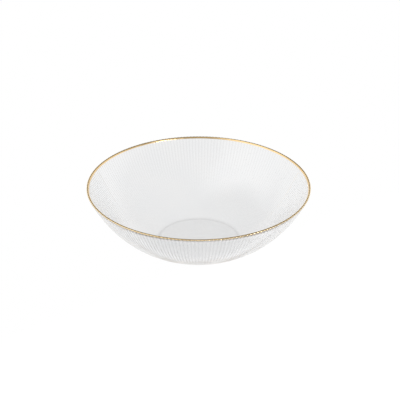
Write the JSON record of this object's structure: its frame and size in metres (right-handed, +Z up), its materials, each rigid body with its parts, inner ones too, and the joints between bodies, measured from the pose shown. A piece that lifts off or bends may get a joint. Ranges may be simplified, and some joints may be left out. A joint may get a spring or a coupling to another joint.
{
  "type": "ribbed glass serving bowl",
  "caption": "Wide clear glass serving bowl with a flat floor, a flared wall finely reeded on the outside, and a thin gilt line round the lip.",
  "frame": {"origin": "middle of the foot's resting plane, on the bowl's axis", "axes": "+Z up along the bowl's axis, out of its mouth; X and Y lie in the resting plane and are alike"},
  "size_m": [0.26, 0.26, 0.078],
  "materials": {
    "clear_glass": "clear, fire-polished",
    "gilt": "bright fired gold"
  },
  "bodies": {
    "root": {"glass_bowl": "clear_glass", "gilt_rim": "gilt"}
  },
  "joints": []
}
